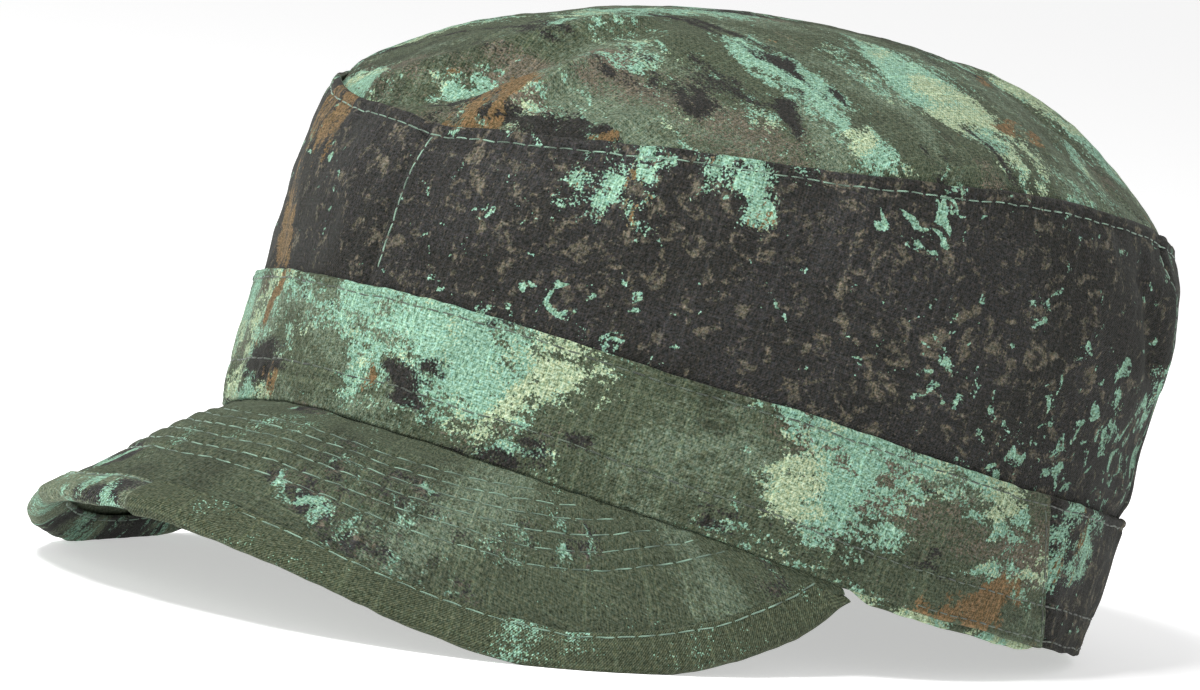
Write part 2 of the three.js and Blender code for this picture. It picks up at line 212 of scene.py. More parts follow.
# Where the cloth has settled: a place in the upright cap, how far round it, and the push there
SETTLED = [
    ((-58, -76, 14), 26, (-1.2, -1.0, 0)),
    ((-60, -68, 70), 18, (0.7, 0.6, 0)),
    ((-58, -50, 90), 20, (-0.7, -0.6, 1.7)),
    ((-33, -28, 99), 22, (0, 0, -0.9)),
    ((8, 2, 111), 28, (0, 0, 0.9)),
    ((50, 42, 104), 24, (0, 0, -1.4)),
    ((62, 46, 98), 20, (-0.5, -0.4, -0.8)),
    ((62, 80, 32), 15, (1.0, 0.9, 0)),
    ((54, 87, 64), 16, (-0.5, -0.5, 0)),
    ((60, 77, 8), 22, (0.9, 0.8, 0)),
    ((2, -95, 67), 9, (0, 0, -0.9)),
    ((58, 76, 82), 12, (0.8, 0.7, 0)),
]

# Relief of the cloth: waves, puffs, ripples, and grooves along the stitches
WALL_RADIUS = 88
CROWN_RADIUS = 91
MM_A_DEGREE = math.radians(1) * WALL_RADIUS
WALL_WAVE = 0.12
WAVE_REACH = 50
SEAM_PUFF = 0.35
SEAM_RIPPLE = 0.13
BAND_PUFF = 0.25
BAND_RIPPLE = 0.16
HEM_RIPPLE = 0.13
FRONT_HEM_RIPPLE = 0.08
SWEATBAND_RIPPLE = 0.12
CROWN_RIPPLE = 0.12
CROWN_PUFF = 0.3
GROOVE = 0.28
GROOVE_WIDTH = 0.5
HEM_GROOVE = 0.2
SEAM_BEND_REACH = 24
SEAM_LEAN_REACH = 25

# Laps, where a panel runs on under its neighbour's folded edge
LAP = 2.6
LAP_IN = math.radians(3)
LAP_DEPTH = 1.15 * CLOTH

# Degrees over which the sweatband's hem drops past the peak's corner, and rises again past the band's seam
HEM_DROPS = (-1, 4)
HEM_RISES = (0, 8)

# The peak's two cloth faces lie between the two sides of its binding
TOP_SINK = 0.9
UNDER_DROP = 0.3
FOLD_SHORT = 1.2
FOLD_PUFF = 0.9
ROOT_LIFT = 0.45
ROOT_LIFT_REACH = 5
ROW_GROOVE = 0.42
ROW_GROOVE_WIDTH = 0.75
ROW_PUFF = 0.16
ROW_PUFF_WIDTH = 1.3
ROW_CLEAR = 0.8
TAPE_GROOVE = 0.25
TAPE_CLEAR = 0.4
LEAST_TAPE = 2.6
JOINT_STEP = 0.6
THINNER_ENDS = 0.4

# Grids: steps in millimetres along the cloth, and numbers of columns and rows
PANEL_STEP = 1.1
WALL_STEP = 0.8
BAND_STEP = 0.7
SWEATBAND_STEP = 0.9
PEAK_STEP = 0.9
PEAK_ROW_STEP = 0.6
TAPE_STEP = 0.7
TAPE_ROWS = 16
BEND_ROWS = 13
CROWN_COLUMNS = 520
CROWN_ROWS = 90
SWEATBAND_COLUMNS = 500
EDGE_STEPS = np.array([0, 0.04, 0.15, 0.33, 0.6, 1.0])
TURNED_EDGE = np.array([0.35, 0.7, 1.0])

# Step in angle or share that tells which way a surface faces, and the distance in metres that merges points
NUDGE = 1e-3
MERGE = 2e-7


# Curves through the tables

def smooth_through(values, closed):
    """Catmull-Rom curve through evenly spaced rows; its share runs from 0 to 1."""
    rows = np.asarray(values, float).reshape(len(values), -1)
    count = len(rows)
    if closed:
        padded = np.concatenate([rows[-1:], rows, rows[:2]])
    else:
        padded = np.concatenate([[2 * rows[0] - rows[1]], rows, [2 * rows[-1] - rows[-2]]])

    def at(share):
        share = np.asarray(share, float)
        place = np.mod(share, 1) * count if closed else np.clip(share, 0, 1) * (count - 1)
        first = np.minimum(np.floor(place).astype(int), count - (1 if closed else 2))
        part = (place - first)[..., None]
        before, start, end, after = (padded[first + k] for k in range(4))
        cubic = 3 * (start - end) + after - before
        square = 2 * before - 5 * start + 4 * end - after
        return start + 0.5 * part * (end - before + part * (square + part * cubic))

    return at


def both_sides(rows):
    """Rows from front to back, followed by the same on the other side."""
    return rows + rows[-2:0:-1]


edge_heights = smooth_through(both_sides(EDGE_HEIGHTS), True)
wall_bulge = smooth_through(WALL_BULGES, True)
peak_edge = smooth_through([(-x, y, z) for x, y, z in PEAK_EDGE[:0:-1]] + PEAK_EDGE, False)


def point(x, y, z):
    return np.stack(np.broadcast_arrays(x, y, z), -1).astype(float)


def mix(a, b, share):
    return a + (b - a) * np.asarray(share, float)[..., None]


def smoothstep(x, low, high):
    t = np.clip((np.asarray(x, float) - low) / (high - low), 0, 1)
    return t * t * (3 - 2 * t)


def hump(distance, width):
    return np.exp(-((np.asarray(distance, float) / width) ** 2))


def crest(distance, width):
    """A sharper hump, for creases."""
    away = np.asarray(distance, float) / width
    return np.exp(CREASE_ROUNDING - np.sqrt(away**2 + CREASE_ROUNDING**2))


def run_of(points, axis=0):
    """How far along its line each point is. The lines go along the given axis."""
    steps = np.diff(points, axis=axis, prepend=np.take(points, [0], axis))
    return np.cumsum(np.linalg.norm(steps, axis=-1), axis)


# Surfaces of the cap: each gives points of the outer face

def inset(face, across, along, depth):
    """Points moved into the cloth, square to the surface."""
    sideways = face(across + NUDGE, along) - face(across - NUDGE, along)
    lengthways = face(across, along + NUDGE) - face(across, along - NUDGE)
    normal = np.cross(sideways, lengthways)
    normal /= np.linalg.norm(normal, axis=-1, keepdims=True)
    return face(across, along) - normal * np.asarray(depth, float)[..., None]


def under(face, across, out, depth):
    """The same for the crown and the peak, which run outward where a wall runs up."""
    return inset(face, across, out, -np.asarray(depth, float))


def oval(angle, length, width, taper, height):
    x = width / 2 * np.sin(angle) * (1 - taper * np.cos(angle))
    return point(x, -length / 2 * np.cos(angle), height)


def band_face(angle, up):
    heights = edge_heights(angle / TURN)
    low = heights[..., 0] * BAND_HEIGHT
    rim = oval(angle, RIM_LENGTH, RIM_WIDTH, BAND_TAPER, low)
    top = oval(angle, BAND_TOP_LENGTH, BAND_TOP_WIDTH, BAND_TAPER, low + heights[..., 1] * BAND_HEIGHT)
    return mix(rim, top, up)


def band_height(angle):
    return edge_heights(angle / TURN)[..., 1] * BAND_HEIGHT


def seam_edge(angle):
    edge = oval(angle, SEAM_LENGTH, SEAM_WIDTH, SEAM_TAPER, edge_heights(angle / TURN)[..., 2] * SEAM_HEIGHT)
    return edge + (0, SEAM_SET_BACK, 0)


def wall_face(angle, up):
    angle, up = np.broadcast_arrays(np.asarray(angle, float), np.asarray(up, float))
    foot = inset(band_face, angle, 1 + np.minimum(up, 0), CLOTH + GAP)
    above = np.maximum(up, 0)
    belly = WALL_BULGE * wall_bulge(angle / TURN)[..., 0] * np.sin(math.pi * above**BELLY_HEIGHT)
    return mix(foot, seam_edge(angle), above) + point(np.sin(angle), -np.cos(angle), 0) * belly[..., None]


ROUND = np.linspace(0, TURN, 720, endpoint=False)
crown_edge = smooth_through(inset(wall_face, ROUND, 1.0, CLOTH + GAP), True)
seam_front, seam_back = seam_edge(0.0), seam_edge(math.pi)
seam_rise = (seam_edge(math.pi / 2)[2] - (seam_front[2] + seam_back[2]) / 2) / 2


def crown_place(place):
    degrees, out = place
    edge = seam_edge(math.radians(degrees))
    return np.array([edge[0] * out, SEAM_SET_BACK + (edge[1] - SEAM_SET_BACK) * out])


def beside(x, y, start, end):
    """Distance from the straight way between two places."""
    way = end - start
    share = np.clip(((x - start[0]) * way[0] + (y - start[1]) * way[1]) / (way @ way), 0, 1)
    return np.hypot(x - start[0] - way[0] * share, y - start[1] - way[1] * share)


def fold_height(x, y):
    total = 0
    for start, end, width, height in CROWN_FOLDS:
        away = beside(x, y, crown_place(start), crown_place(end))
        total = total + height * DOME_HEIGHT * hump(away, width * DOME_HEIGHT)
    return total


def crown_face(angle, out):
    angle, out = np.broadcast_arrays(np.asarray(angle, float), np.asarray(out, float))
    edge = crown_edge(angle / TURN)
    x = edge[..., 0] * out
    y = SEAM_SET_BACK + (edge[..., 1] - SEAM_SET_BACK) * out
    along = (y - seam_front[1]) / (seam_back[1] - seam_front[1])
    leaning = seam_front[2] + (seam_back[2] - seam_front[2]) * along + seam_rise
    dome = DOME_HEIGHT * (1 - np.abs(out) ** DOME_FULLNESS) * (1 + DOME_LEAN * (2 * along - 1))
    folds = fold_height(x, y) * (1 - smoothstep(out, FOLDS_FADE, 1))
    return point(x, y, leaning + (edge[..., 2] - leaning) * out**SHOULDER_HOLD + dome + folds)


def peak_face(turn, out):
    turn, out = np.broadcast_arrays(np.asarray(turn, float), np.asarray(out, float))
    corner = band_face(np.array(PEAK_CORNER), 0.0)
    root = inset(band_face, turn / (math.pi / 2) * PEAK_CORNER, np.zeros_like(turn), CLOTH) - (0, 0, GAP)
    shares = peak_edge(turn / math.pi + 0.5)
    at_corner = np.sin(turn) ** CORNER_HOLD
    reach = RIM_LENGTH / 2 + PEAK_OVERHANG + corner[1]
    edge = point(
        shares[..., 0] * PEAK_WIDTH / 2 + np.sign(turn) * (corner[0] - PEAK_WIDTH / 2) * at_corner,
        corner[1] - shares[..., 1] * reach,
        corner[2] * at_corner - shares[..., 2] * PEAK_DROP,
    )
    across = math.pi * out
    bulge = PEAK_BULGE * np.sin(across) * (1 + PEAK_BELLY * np.cos(across)) * np.cos(turn)
    return mix(root, edge, out) + point(0, 0, bulge)


def peak_reach(turn):
    return np.linalg.norm(peak_face(turn, 1.0) - peak_face(turn, 0.0), axis=-1)


# Softness: what the cloth does between its seams

RIM_ROUND = math.pi * (RIM_LENGTH + RIM_WIDTH) / 2


def ring_waves(shortest, longest, seed):
    """Random waves round the cap, between two wavelengths in millimetres, with a mean square of 1."""
    rng = np.random.default_rng(seed)
    turns = np.arange(max(1, round(RIM_ROUND / longest)), round(RIM_ROUND / shortest) + 1)
    turns = rng.choice(turns, min(len(turns), 24), replace=False)
    phases = rng.uniform(0, TURN, len(turns))
    sizes = rng.uniform(0.4, 1, len(turns))
    sizes *= math.sqrt(2) / np.linalg.norm(sizes)
    return lambda angle: (np.sin(np.asarray(angle)[..., None] * turns + phases) * sizes).sum(-1)


def space_waves(wavelength, push, seed, count=26):
    """Random soft displacement of whole layers of cloth: a push in millimetres over a wavelength."""
    rng = np.random.default_rng(seed)
    ways = rng.normal(size=(count, 3))
    ways /= np.linalg.norm(ways, axis=1, keepdims=True)
    ways *= TURN / wavelength * rng.uniform(0.6, 1.5, (count, 1))
    phases = rng.uniform(0, TURN, count)
    pushes = rng.normal(size=(count, 3)) * push * math.sqrt(2 / count)
    return lambda p: np.sin(p @ ways.T + phases) @ pushes


soft_large = space_waves(50, 0.2, 3)
soft_small = space_waves(15, 0.12, 4)
soft_fine = space_waves(6, 0.05, 5)
seam_pucker = ring_waves(6, 16, 6)
band_pucker = ring_waves(7, 20, 7)
hem_pucker = ring_waves(5, 14, 8)
wall_wave = ring_waves(18, 60, 9)


def settling(p):
    """Push of the settled cloth at each point."""
    total = 0
    for place, reach, push in SETTLED:
        total = total + hump(np.linalg.norm(p - place, axis=-1), reach)[..., None] * np.array(push, float)
    return total


def placed(p):
    """Points of the upright cap, softened, tipped to stand on the floor and turned into metres."""
    flat = p.reshape(-1, 3)
    soft = flat + settling(flat) + soft_large(flat) + soft_small(flat) + soft_fine(flat)
    cos, sin = math.cos(TILT), math.sin(TILT)
    tipped = np.stack(
        [
            soft[:, 0] + STANDS_AT[0],
            soft[:, 1] * cos + soft[:, 2] * sin + STANDS_AT[1],
            np.maximum(-soft[:, 1] * sin + soft[:, 2] * cos + STANDS_AT[2], 0),
        ],
        -1,
    )
    return (tipped * MM).reshape(p.shape)


# Meshes

def grid_mesh(name, points):
    """A grid of faces laid through an array of points, columns by rows. Also tells each vertex's column
    and row."""
    columns, rows = points.shape[:2]
    bm = bmesh.new()
    bmesh.ops.create_grid(bm, x_segments=columns - 1, y_segments=rows - 1, size=0.5)
    mesh = bpy.data.meshes.new(name)
    bm.to_mesh(mesh)
    bm.free()
    flat = np.empty(len(mesh.vertices) * 3)
    mesh.vertices.foreach_get("co", flat)
    share = flat.reshape(-1, 3) + 0.5
    column = np.rint(share[:, 0] * (columns - 1)).astype(int)
    row = np.rint(share[:, 1] * (rows - 1)).astype(int)
    mesh.vertices.foreach_set("co", points[column, row].ravel())
    return mesh, column, row


def closed_up(name, meshes):
    """One piece of one or more grids, with wraps and poles merged and faces turned outwards."""
    bm = bmesh.new()
    for mesh in meshes:
        bm.from_mesh(mesh)
    bmesh.ops.remove_doubles(bm, verts=bm.verts[:], dist=MERGE)
    bmesh.ops.dissolve_degenerate(bm, edges=bm.edges[:], dist=MERGE / 10)
    bmesh.ops.recalc_face_normals(bm, faces=bm.faces[:])
    for face in bm.faces:
        face.smooth = True
    finished = bpy.data.meshes.new(name)
    bm.to_mesh(finished)
    bm.free()
    for mesh in meshes:
        bpy.data.meshes.remove(mesh)
    piece = bpy.data.objects.new(name, finished)
    bpy.context.scene.collection.objects.link(piece)
    return piece


def shell(name, outer, inner, outer_uv, inner_uv):
    """One closed sheet: a grid whose rows go along the outer face and back along the inner one. Both faces
    are arrays of columns by rows, and meet where the sheet's edges are rounded off."""
    sections = np.concatenate([outer, inner[:, ::-1]], 1)
    maps = np.concatenate([outer_uv, inner_uv[:, ::-1]], 1) * MM
    mesh, column, row = grid_mesh(name, placed(sections))
    corner = np.empty(len(mesh.loops), int)
    mesh.loops.foreach_get("vertex_index", corner)
    layer = mesh.uv_layers.new(name="cloth")
    layer.data.foreach_set("uv", maps[column, row][corner].ravel())
    side = mesh.attributes.new("reverse", "FLOAT", "POINT")
    side.data.foreach_set("value", (row >= outer.shape[1]).astype(float))
    return closed_up(name, [mesh])


def rounded_rows(length, thickness, step):
    """Distances along a sheet, close together at its rounded edges. The length may vary by column."""
    edge = EDGE_STEPS * thickness / 2
    longest = float(np.max(length))
    count = int((longest - thickness) / step) + 1
    even = thickness / 2 + np.linspace(0, 1, count + 1)[1:-1] * (np.asarray(length)[..., None] - thickness)
    low = np.broadcast_to(edge, even.shape[:-1] + edge.shape)
    return np.concatenate([low, even, np.asarray(length)[..., None] - low[..., ::-1]], -1)


def fullness(distance, thickness):
    """Half thickness left at a distance from a folded edge, as a share."""
    near = np.clip(np.asarray(distance) / (thickness / 2), 0, 1)
    return np.sqrt(1 - (1 - near) ** 2)


def ended_angles(start, end, radius, thickness, step):
    """Angles from one end of a piece to the other, with its ends rounded off, and the fullness at each."""
    length = (end - start) * radius
    along = rounded_rows(np.array(length), thickness, step)
    full = fullness(np.minimum(along, length - along), thickness)
    return start + along / radius, full


def sheet_faces(face, angles, ups, middle, thickness, full, relief):
    """Both faces of a sheet that follows a surface, its middle at a depth, with relief on the outer face."""
    half = thickness / 2 * full
    return (
        inset(face, angles, ups, middle - half - relief * full),
        inset(face, angles, ups, middle + half),
    )


# Side panels, band and sweatband

def soft_folds(folds, angle, up):
    """How far a wall's cloth stands out in its soft folds."""
    total = 0
    for start, end, width, height in folds:
        middle = (start[0] + end[0]) / 2
        x = ((np.degrees(angle) - middle + 180) % 360 - 180) * MM_A_DEGREE
        a = np.array([(start[0] - middle) * MM_A_DEGREE, start[1]])
        b = np.array([(end[0] - middle) * MM_A_DEGREE, end[1]])
        total = total + height * hump(beside(x, up, a, b), width)
    return total


def wall_shift(angle, above):
    """How far the side panels' cloth stands out in its waves and soft folds."""
    waves = WALL_WAVE * wall_wave(angle) * np.sin(math.pi * np.clip(above / WAVE_REACH, 0, 1))
    return (waves + soft_folds(WALL_FOLDS, angle, above)) * smoothstep(above, -2, 4)


def band_shift(angle, up):
    return soft_folds(BAND_FOLDS, angle, up)


def wall_relief(angle, below):
    """Outer face of a side panel: a puffed fold at the crown seam, with a groove along its stitches."""
    pucker = seam_pucker(angle)
    puff = SEAM_PUFF * hump(below - SEAM_STITCH_IN / 2, SEAM_STITCH_IN / 2)
    groove = -(GROOVE + 0.06 * pucker) * hump(below - SEAM_STITCH_IN, GROOVE_WIDTH)
    ripples = SEAM_RIPPLE * pucker * hump(below - SEAM_STITCH_IN, 5)
    return puff + groove + ripples


def lap_depth(angle, edge, inward):
    """How deep a panel's end lies where the next panel's folded edge covers it."""
    beyond = (angle - edge) * inward
    return LAP_DEPTH * smoothstep(-beyond, -LAP_IN, 0.0)


def bent(angle, up):
    """Angles near the back panel's seams, moved forward at the top, where the seams bend."""
    around = (np.degrees(angle) + 180) % 360 - 180
    near = hump(np.abs(around) - BACK_PANEL_SEAM, SEAM_BEND_REACH)
    return angle - np.sign(around) * math.radians(SEAM_BEND) * smoothstep(up, 0.4, 1) * near


def side_panel(name, start, end, under_start, under_end):
    """A panel of the side wall. Where it goes under its neighbour it runs on a little, deeper in."""
    lap = LAP / WALL_RADIUS
    low = math.radians(start) - (lap if under_start else 0)
    high = math.radians(end) + (lap if under_end else 0)
    angle, ends = ended_angles(low, high, WALL_RADIUS, CLOTH, PANEL_STEP)
    height = seam_edge(angle)[..., 2] - band_face(angle, 1.0)[..., 2]
    rows = rounded_rows(height + BAND_LAP, CLOTH, WALL_STEP)
    below = (height + BAND_LAP)[:, None] - rows
    straight = np.broadcast_to(angle[:, None], rows.shape)
    on_the_wall = 1 - below / height[:, None]
    behind_the_band = -(below - height[:, None]) / band_height(angle)[:, None]
    ups = np.where(below < height[:, None], on_the_wall, behind_the_band)
    wide = bent(straight, ups)
    full = fullness(np.minimum(rows, below), CLOTH) * ends[:, None]
    middle = CLOTH / 2 - wall_shift(wide, height[:, None] - below)
    if under_start:
        middle = middle + lap_depth(straight, math.radians(start), 1)
    if under_end:
        middle = middle + lap_depth(straight, math.radians(end), -1)
    relief = wall_relief(wide, below)
    outer, inner = sheet_faces(wall_face, wide, ups, middle, CLOTH, full, relief)
    uv = np.stack([wide * WALL_RADIUS, rows], -1)
    return shell(name, outer, inner, uv, uv)


def slanted(angle, up):
    """Angles near the band's seams, moved with the height, as the seams lean."""
    around = (np.degrees(angle) + 180) % 360 - 180
    near = hump(np.abs(around) - BAND_SEAM, SEAM_LEAN_REACH)
    return angle + np.sign(around) * math.radians(SEAM_LEAN) * (0.5 - np.clip(up, 0, 1)) * near


def band_relief(angle, up_mm, height):
    """Outer face of the band: a puffed upper fold, grooves along its stitches, and ripples beside them."""
    pucker = band_pucker(angle)
    below = height - up_mm
    puff = BAND_PUFF * hump(below - BAND_STITCH_IN / 2, BAND_STITCH_IN / 2)
    top = -(GROOVE + 0.05 * pucker) * hump(below - BAND_STITCH_IN, 0.9 * GROOVE_WIDTH)
    middle = -GROOVE * hump(up_mm - SWEATBAND_STITCH_UP, GROOVE_WIDTH)
    bottom = -HEM_GROOVE * hump(up_mm - HEM_STITCH_UP, 0.9 * GROOVE_WIDTH)
    top_ripples = BAND_RIPPLE * pucker * hump(below - BAND_STITCH_IN, 4)
    hem_ripple = HEM_RIPPLE + FRONT_HEM_RIPPLE * smoothstep(np.cos(angle), 0.3, 0.7)
    hem_ripples = hem_ripple * hem_pucker(angle) * hump(up_mm - 4, 4)
    return puff + top + middle + bottom + top_ripples + hem_ripples


def band_piece(name, start, end, under_ends):
    """A piece of the band. Both its ends may go under the other piece."""
    lap = LAP / WALL_RADIUS if under_ends else 0
    low, high = math.radians(start), math.radians(end)
    angle, ends = ended_angles(low - lap, high + lap, WALL_RADIUS, CLOTH, PANEL_STEP)
    height = band_height(angle)
    rows = rounded_rows(height, CLOTH, BAND_STEP)
    straight = np.broadcast_to(angle[:, None], rows.shape)
    wide = slanted(straight, rows / height[:, None])
    below = height[:, None] - rows
    full = fullness(np.minimum(rows, below), CLOTH) * ends[:, None]
    middle = CLOTH / 2 - band_shift(wide, rows)
    if under_ends:
        middle = middle + lap_depth(straight, low, 1) + lap_depth(straight, high, -1)
    relief = band_relief(wide, rows, height[:, None])
    outer, inner = sheet_faces(band_face, wide, rows / height[:, None], middle, CLOTH, full, relief)
    uv = np.stack([wide * WALL_RADIUS, rows], -1)
    return shell(name, outer, inner, uv, uv)


def sweatband():
    """The facing inside the band. Between the peak's corner and the band's seam its hem hangs lower."""
    angle = np.linspace(0, TURN, SWEATBAND_COLUMNS)
    height = band_height(angle)
    from_front = np.degrees(np.minimum(angle, TURN - angle))
    corner = math.degrees(PEAK_CORNER)
    dropped = smoothstep(from_front - corner, *HEM_DROPS)
    past = dropped - smoothstep(from_front - BAND_SEAM, *HEM_RISES)
    bottom = GAP - (SWEATBAND_SHOWS + GAP) * past
    top = height - (BAND_LAP + 2 * GAP)
    rows = rounded_rows(top - bottom, CLOTH, SWEATBAND_STEP)
    ups = (bottom[:, None] + rows) / height[:, None]
    wide = np.broadcast_to(angle[:, None], rows.shape)
    full = fullness(np.minimum(rows, (top - bottom)[:, None] - rows), CLOTH)
    relief = np.minimum(SWEATBAND_RIPPLE * hem_pucker(wide) * hump(rows, 4) * past[:, None], GAP / 2)
    middle = np.full(rows.shape, 1.5 * CLOTH + GAP)
    outer, inner = sheet_faces(band_face, wide, ups, middle, CLOTH, full, relief)
    uv = np.stack([wide * WALL_RADIUS, rows], -1)
    return shell("sweatband_cloth", outer, inner, uv, uv)


# Crown

def crown_relief(angle, out):
    """How the crown's cloth stands out: creases, and short gathers that run in from its seam."""
    edge = crown_edge(angle / TURN)
    x = edge[..., 0] * out
    y = SEAM_SET_BACK + (edge[..., 1] - SEAM_SET_BACK) * out
    total = 0
    for width, height, *places in CROWN_CREASES:
        bends = [crown_place(place) for place in places]
        away = np.minimum.reduce([beside(x, y, a, b) for a, b in zip(bends, bends[1:])])
        from_end = np.hypot(x - bends[-1][0], y - bends[-1][1])
        total = total + height * crest(away, width) * smoothstep(from_end, 0, CREASE_FADE)
    inward = (1 - out) * CROWN_RADIUS
    ripples = CROWN_RIPPLE * seam_pucker(angle + 0.02) * hump(inward - 1, 6)
    puff = CROWN_PUFF * hump(inward - 3.5, 2.5)
    return total * (1 - 0.7 * smoothstep(out, 0.96, 1)) + ripples + puff


def unrolled(points):
    """Flat places of a round piece: each column keeps its direction and its length over the surface."""
    ways = points[:, -1, :2] - points[0, 0, :2]
    ways = ways / np.linalg.norm(ways, axis=1, keepdims=True)
    return ways[:, None] * run_of(points, 1)[..., None]


def top_panel():
    """The crown: one sheet whose edge turns down inside the side panels."""
    angle = np.linspace(0, TURN, CROWN_COLUMNS)
    outs = np.linspace(0, 1, CROWN_ROWS) ** 0.8
    wide, out = np.meshgrid(angle, outs, indexing="ij")
    relief = crown_relief(wide, out)
    outer = under(crown_face, wide, out, -relief)
    inner = under(crown_face, wide, out, CLOTH - relief)
    centre = crown_face(0.0, 0.0) + (0, 0, relief[0, 0])
    outer[:, 0], inner[:, 0] = centre, centre - (0, 0, CLOTH)
    wall_height = seam_edge(angle)[..., 2] - band_face(angle, 1.0)[..., 2]
    down = TURNED_EDGE * CROWN_LAP
    ups = 1 - down / wall_height[:, None]
    lower = np.broadcast_to(angle[:, None], ups.shape)
    full = fullness(CROWN_LAP - down, CLOTH)
    turned_out, turned_in = sheet_faces(wall_face, lower, ups, 1.5 * CLOTH + GAP, CLOTH, full, 0)
    outer = np.concatenate([outer[:, :-1], turned_out], 1)
    inner = np.concatenate([inner[:, :-1], turned_in], 1)
    uv = unrolled(outer)
    return shell("crown_cloth", outer, inner, uv, uv)


# Peak

def rows_in():
    """Distances of the stitch rows from the peak's edge, the outermost first."""
    return [FIRST_ROW_IN + ROW_STEP * row for row in range(PEAK_ROWS)]


def peak_relief(reach, mm):
    """The peak's cloth is pulled in along its stitch rows and puffs up between them."""
    total = 0
    for inward in rows_in():
        away = reach - mm - inward
        groove = ROW_GROOVE * hump(away, ROW_GROOVE_WIDTH)
        total = total - groove + ROW_PUFF * hump(away - ROW_STEP / 2, ROW_PUFF_WIDTH)
    return total * smoothstep(mm, 0, 1.5)


def peak_turns(step):
    return ended_angles(-PEAK_END, PEAK_END, PEAK_WIDTH / 2, PEAK_CLOTH, step)


def peak_layer(name, depth, upper):
    """One of the peak's two cloth faces, at a depth below the peak's surface."""
    turn, ends = peak_turns(PEAK_STEP)
    whole = peak_reach(turn)
    reach = np.maximum(whole - FOLD_SHORT, PEAK_CLOTH + 0.2)
    rows = rounded_rows(reach, PEAK_CLOTH, PEAK_ROW_STEP)
    wide = np.broadcast_to(turn[:, None], rows.shape)
    out = rows / whole[:, None]
    full = fullness(np.minimum(rows, reach[:, None] - rows), PEAK_CLOTH) * ends[:, None]
    relief = peak_relief(whole[:, None], rows) * full
    if upper:
        rise = relief + ROOT_LIFT * (1 - smoothstep(rows, 0, ROOT_LIFT_REACH))
        middle = depth + PEAK_CLOTH / 2 + TOP_SINK * smoothstep(out, 0, 1) - rise
        lower = relief
    else:
        middle = depth + PEAK_CLOTH / 2 - UNDER_DROP * smoothstep(out, 0, 1)
        lower = -relief
    half = PEAK_CLOTH / 2 * full
    outer = under(peak_face, wide, out, middle - half)
    inner = under(peak_face, wide, out, middle + half + lower)
    along = run_of(peak_face(turn, 0.5))
    uv = np.stack(np.broadcast_arrays(along[:, None], rows), -1)
    return shell(name, outer, inner, uv, uv)


def tape_width(reach):
    """Width of the folded tape on each side of the peak, up to where it goes under the band."""
    return np.maximum(np.minimum(BINDING_WIDTH, reach - TAPE_CLEAR), LEAST_TAPE)


def peak_binding():
    """The tape folded round the peak's edge. Places round it are distances in from the edge and offsets from
    the middle of the peak's thickness."""
    turn, ends = peak_turns(TAPE_STEP)
    reach = peak_reach(turn)
    width = tape_width(reach)
    top, bottom = TOP_SINK, PEAK_THICKNESS + UNDER_DROP
    centre = (top + bottom) / 2
    wrap = (bottom - top) / 2 + BINDING_CLOTH
    flat = np.linspace(1, 0, TAPE_ROWS)[:-1]
    bend = np.radians(np.linspace(90, -90, BEND_ROWS))
    cloth = BINDING_CLOTH - 0.1

    def side(offset_out, sign):
        """One flat side of the tape, from its inner edge to the bend, at an offset from the middle."""
        return [(wrap + share * (width - wrap), sign * offset_out + 0 * width) for share in flat]

    def folded(radius):
        """The tape's bend round the edge."""
        return [(wrap - radius * np.cos(a) + 0 * width, radius * np.sin(a) + 0 * width) for a in bend]

    def section(radius):
        places = side(radius, 1) + folded(radius) + side(radius, -1)[::-1]
        return (np.stack(column, 1) for column in zip(*places))

    outer_in, outer_off = section(wrap)
    inner_in, inner_off = section(wrap - cloth)
    from_edge = width[:, None] - outer_in
    full = fullness(from_edge, cloth) * ends[:, None]
    mid_in, mid_off = (outer_in + inner_in) / 2, (outer_off + inner_off) / 2
    groove = TAPE_GROOVE * hump(from_edge - BINDING_STITCH_IN, 0.6) * np.sign(outer_off)
    shown = width[:, None] - FOLD_PUFF
    outer_in = outer_in - FOLD_PUFF * np.clip(1 - outer_in / shown, 0, 1)
    inner_in = inner_in - FOLD_PUFF * np.clip(1 - inner_in / shown, 0, 1)
    outer_in = mid_in + (outer_in - mid_in) * full
    outer_off = mid_off + (outer_off - mid_off) * full - groove * full
    inner_in = mid_in + (inner_in - mid_in) * full
    inner_off = mid_off + (inner_off - mid_off) * full
    wide = np.broadcast_to(turn[:, None], outer_in.shape)
    flatter = 1 - THINNER_ENDS * smoothstep(np.abs(wide), math.radians(80), PEAK_END)
    lap = JOINT_STEP * smoothstep(wide, 0, 0.008) * (1 - smoothstep(wide, 0.05, 0.3))
    outer_off = (outer_off + lap * np.sign(outer_off)) * flatter
    outer_in = outer_in - lap * hump(outer_in, 2)
    inner_off = inner_off * flatter
    out_faces = under(peak_face, wide, 1 - outer_in / reach[:, None], centre - outer_off)
    in_faces = under(peak_face, wide, 1 - inner_in / reach[:, None], centre - inner_off)
    uv = np.stack(np.broadcast_arrays(run_of(peak_face(turn, 1.0))[:, None], run_of(out_faces, 1)), -1)
    return shell("binding_tape", out_faces, in_faces, uv, uv)


# Stitches

def stitch_line(face, across, along, depth):
    """Places along a seam, at a depth in the cloth, and the way out of the cloth there."""
    across, along, depth = np.broadcast_arrays(*(np.asarray(v, float) for v in (across, along, depth)))
    places = placed(face(across, along, depth))
    outward = placed(face(across, along, depth - 0.5)) - places
    return places, outward / np.linalg.norm(outward, axis=-1, keepdims=True)


